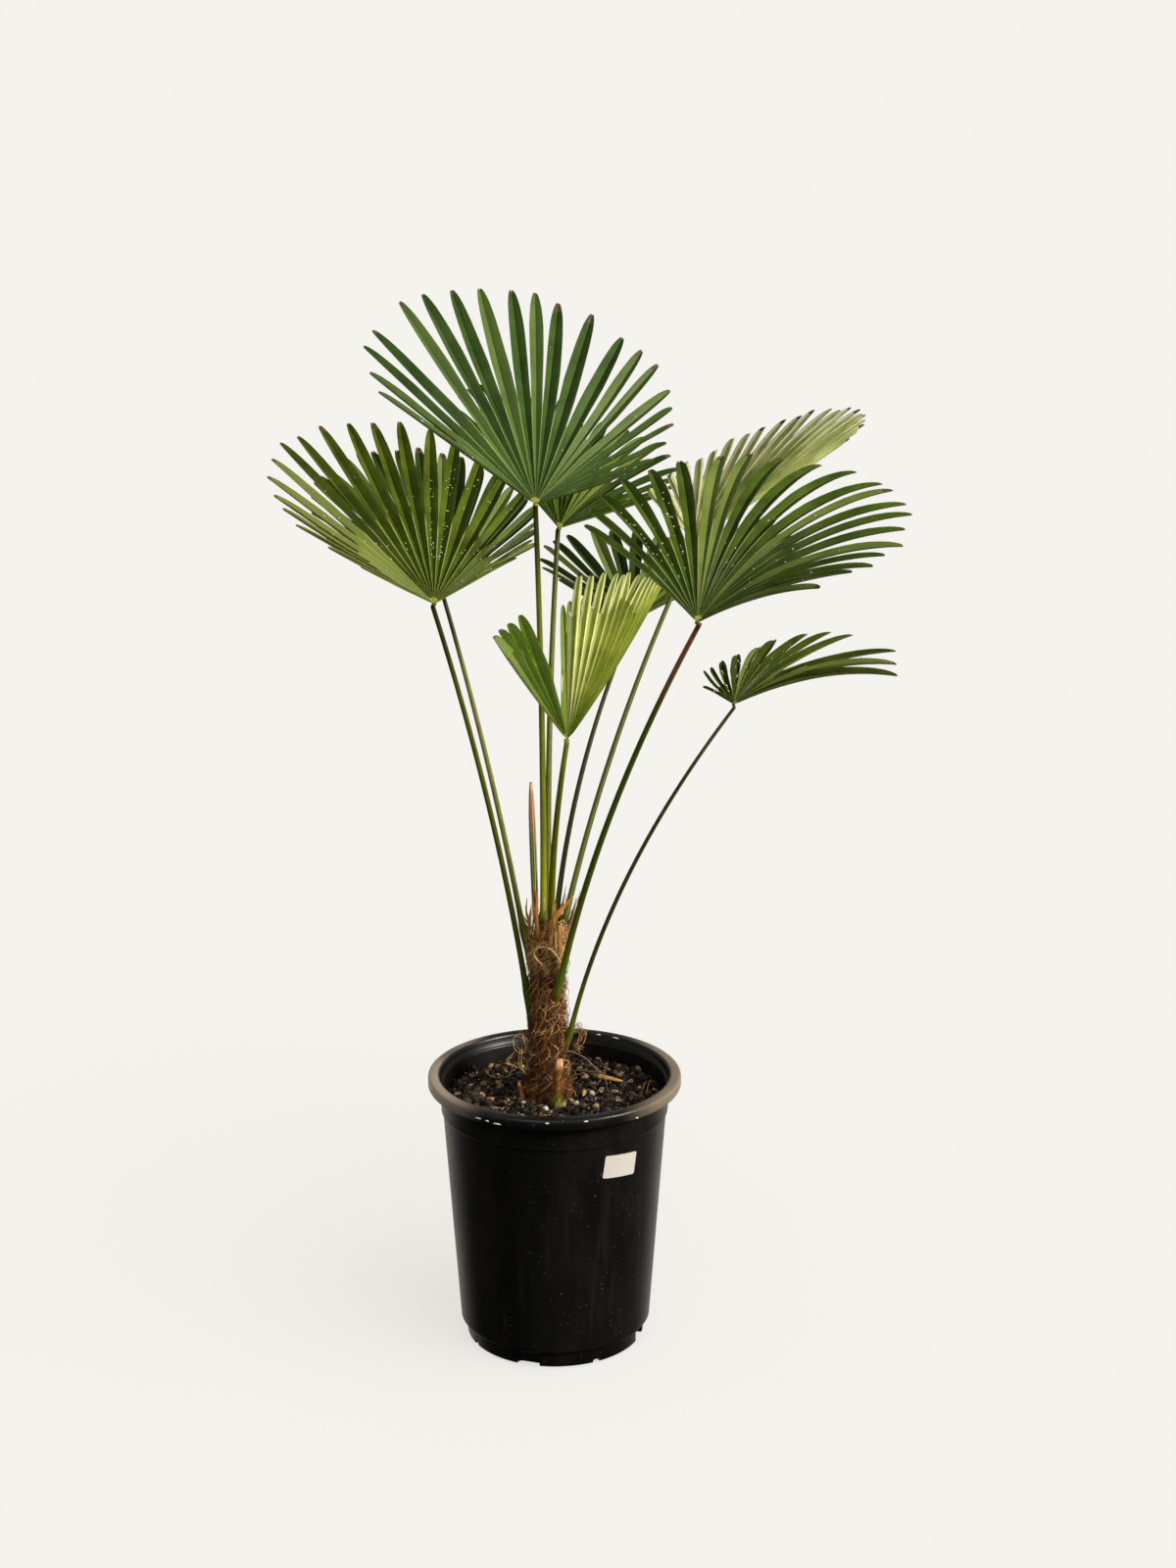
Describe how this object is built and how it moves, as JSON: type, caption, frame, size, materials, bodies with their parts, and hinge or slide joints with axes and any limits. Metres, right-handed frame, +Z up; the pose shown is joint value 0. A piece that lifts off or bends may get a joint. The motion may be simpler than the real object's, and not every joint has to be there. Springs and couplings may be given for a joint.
{
  "type": "potted wagner windmill palm",
  "caption": "Small fan palm with stiff pleated leaves on long stalks and a short fibrous trunk, standing in a black nursery pot of soil.",
  "frame": {"origin": "centre of the pot's flat underside", "axes": "+Z up along the pot's axis, -Y towards the viewer of the reference view, +X to the viewer's right"},
  "size_m": [0.661, 0.7103, 1.1473],
  "materials": {
    "pot_black": "glossy black moulded plastic",
    "label_paper": "blank off-white sticker",
    "soil_dark": "moist dark potting soil",
    "trunk_fibre": "coarse brown fibre",
    "leaf_green": "waxy green leaf",
    "stalk_green": "smooth green stalk",
    "sheath_orange": "dry orange-brown sheath"
  },
  "bodies": {
    "root": {"pot": "pot_black", "label": "label_paper", "soil": "soil_dark", "trunk": "trunk_fibre", "stalk_top": "stalk_green", "blade_top": "leaf_green", "stalk_left": "stalk_green", "blade_left": "leaf_green", "stalk_left_back": "stalk_green", "blade_left_back": "leaf_green", "stalk_back": "stalk_green", "blade_back": "leaf_green", "stalk_right_front": "stalk_green", "blade_right_front": "leaf_green", "stalk_right_back": "stalk_green", "blade_right_back": "leaf_green", "stalk_young": "stalk_green", "blade_young": "leaf_green", "stalk_low_back": "stalk_green", "blade_low_back": "leaf_green", "stalk_low_right": "stalk_green", "blade_low_right": "leaf_green", "spear": "leaf_green", "stub": "sheath_orange", "sheath_left": "sheath_orange", "sheath_front": "sheath_orange", "sheath_right": "sheath_orange"}
  },
  "joints": []
}
